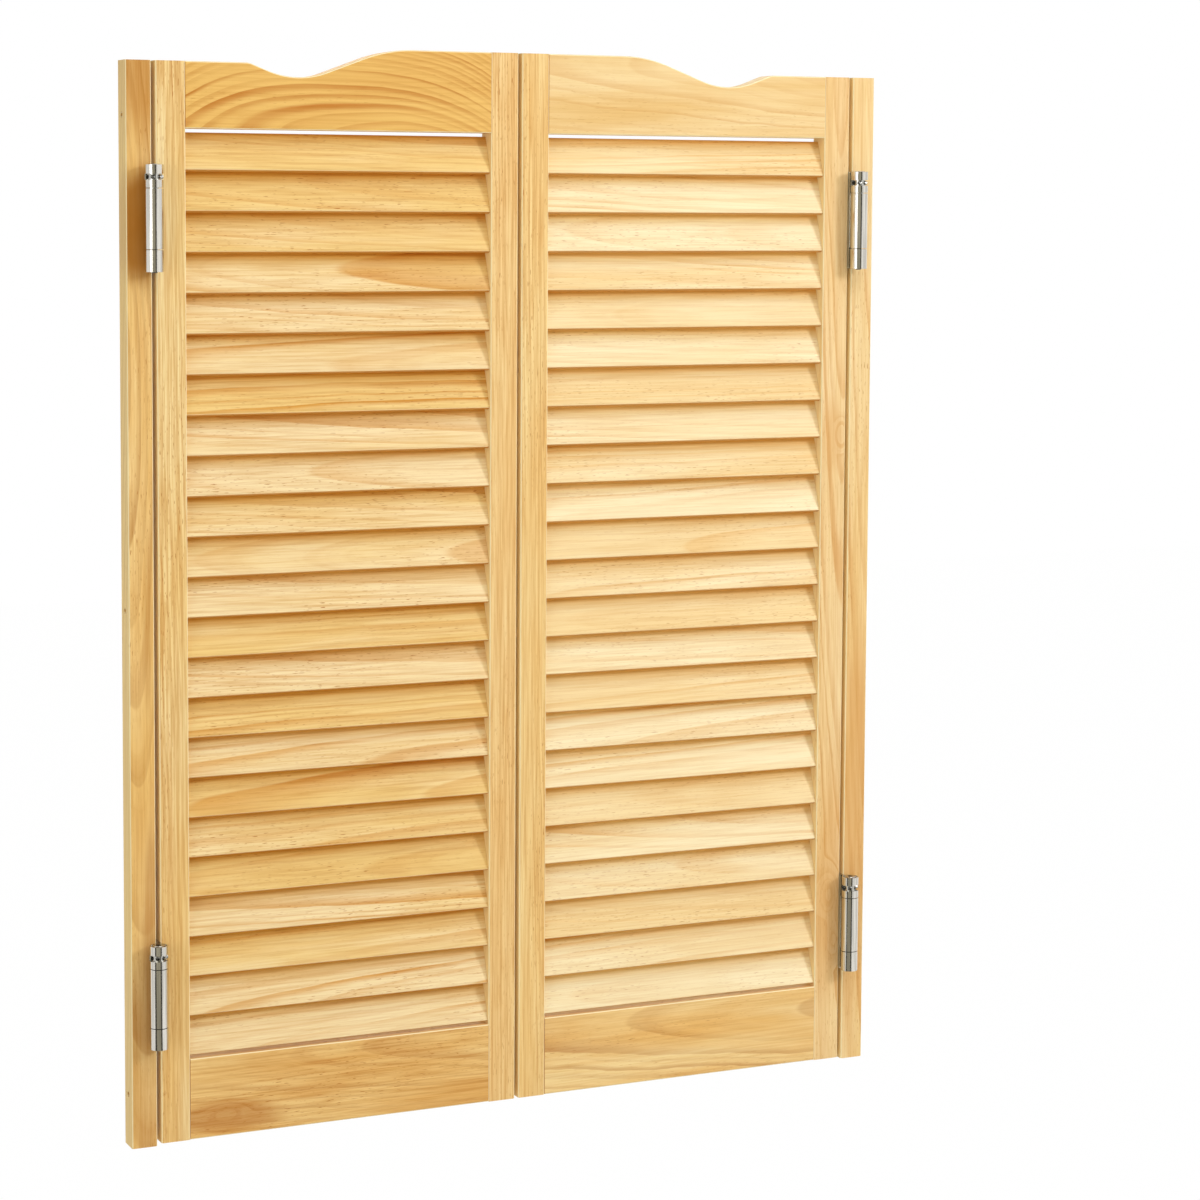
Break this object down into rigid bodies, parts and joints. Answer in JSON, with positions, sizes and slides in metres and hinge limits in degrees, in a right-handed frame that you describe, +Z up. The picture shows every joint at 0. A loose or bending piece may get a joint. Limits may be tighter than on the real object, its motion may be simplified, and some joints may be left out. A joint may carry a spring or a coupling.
{
  "type": "cafe swinging doors",
  "caption": "Pair of louvred wooden cafe doors with scalloped tops, hung on double-action spring hinges from narrow jamb strips so that each door swings both ways and closes itself.",
  "frame": {"origin": "middle of the pair at the level of the jamb strips' lower ends, halfway through the thickness", "axes": "+X across the doorway to the right, +Y to the rear, -Y to the front where the slats' lower edges face, +Z up"},
  "size_m": [0.8132, 0.0688, 1.069],
  "materials": {
    "pine_uprights": "clear satin lacquer",
    "pine_rails": "clear satin lacquer",
    "pine_slats": "clear satin lacquer",
    "dowel_wood": "bare turned hardwood",
    "nickel_plate": "satin nickel plated steel",
    "bare_steel": "bright drawn steel",
    "spring_wire": "oiled spring steel"
  },
  "bodies": {
    "jambs": {"left_jamb_strip": "pine_uprights", "left_jamb_screws": "nickel_plate", "left_jamb_tension_pins": "nickel_plate", "left_upper_jamb_leaf": "nickel_plate", "left_upper_jamb_spindle": "bare_steel", "left_upper_jamb_adjuster": "nickel_plate", "left_lower_jamb_leaf": "nickel_plate", "left_lower_jamb_spindle": "bare_steel", "left_lower_jamb_adjuster": "nickel_plate", "right_jamb_strip": "pine_uprights", "right_jamb_screws": "nickel_plate", "right_jamb_tension_pins": "nickel_plate", "right_upper_jamb_leaf": "nickel_plate", "right_upper_jamb_spindle": "bare_steel", "right_upper_jamb_adjuster": "nickel_plate", "right_lower_jamb_leaf": "nickel_plate", "right_lower_jamb_spindle": "bare_steel", "right_lower_jamb_adjuster": "nickel_plate"},
    "left_link": {"left_upper_web": "nickel_plate", "left_upper_springs": "spring_wire", "left_lower_web": "nickel_plate", "left_lower_springs": "spring_wire"},
    "left_door": {"left_outer_stile": "pine_uprights", "left_inner_stile": "pine_uprights", "left_top_rail": "pine_rails", "left_bottom_rail": "pine_rails", "left_top_slat": "pine_slats", "left_slats": "pine_slats", "left_dowels": "dowel_wood", "left_door_screws": "nickel_plate", "left_door_tension_pins": "nickel_plate", "left_upper_door_leaf": "nickel_plate", "left_upper_door_spindle": "bare_steel", "left_upper_door_adjuster": "nickel_plate", "left_lower_door_leaf": "nickel_plate", "left_lower_door_spindle": "bare_steel", "left_lower_door_adjuster": "nickel_plate"},
    "right_link": {"right_upper_web": "nickel_plate", "right_upper_springs": "spring_wire", "right_lower_web": "nickel_plate", "right_lower_springs": "spring_wire"},
    "right_door": {"right_outer_stile": "pine_uprights", "right_inner_stile": "pine_uprights", "right_top_rail": "pine_rails", "right_bottom_rail": "pine_rails", "right_top_slat": "pine_slats", "right_slats": "pine_slats", "right_dowels": "dowel_wood", "right_door_screws": "nickel_plate", "right_door_tension_pins": "nickel_plate", "right_upper_door_leaf": "nickel_plate", "right_upper_door_spindle": "bare_steel", "right_upper_door_adjuster": "nickel_plate", "right_lower_door_leaf": "nickel_plate", "right_lower_door_spindle": "bare_steel", "right_lower_door_adjuster": "nickel_plate"}
  },
  "joints": [
    {"name": "left_swing_back", "type": "hinge", "parent": "jambs", "child": "left_link", "pos_m": [-0.3826, 0.0255, 0.5275], "axis": [0, 0, 1], "range_deg": [0, 110], "stiffness_Nm_per_rad": 1.5, "springref_deg": -34.38},
    {"name": "left_swing_front", "type": "hinge", "parent": "left_link", "child": "left_door", "pos_m": [-0.3826, -0.0255, 0.5275], "axis": [0, 0, -1], "range_deg": [0, 110], "stiffness_Nm_per_rad": 1.5, "springref_deg": -34.38},
    {"name": "right_swing_front", "type": "hinge", "parent": "jambs", "child": "right_link", "pos_m": [0.3826, -0.0255, 0.5275], "axis": [0, 0, 1], "range_deg": [0, 110], "stiffness_Nm_per_rad": 1.5, "springref_deg": -34.38},
    {"name": "right_swing_back", "type": "hinge", "parent": "right_link", "child": "right_door", "pos_m": [0.3826, 0.0255, 0.5275], "axis": [0, 0, -1], "range_deg": [0, 110], "stiffness_Nm_per_rad": 1.5, "springref_deg": -34.38}
  ]
}
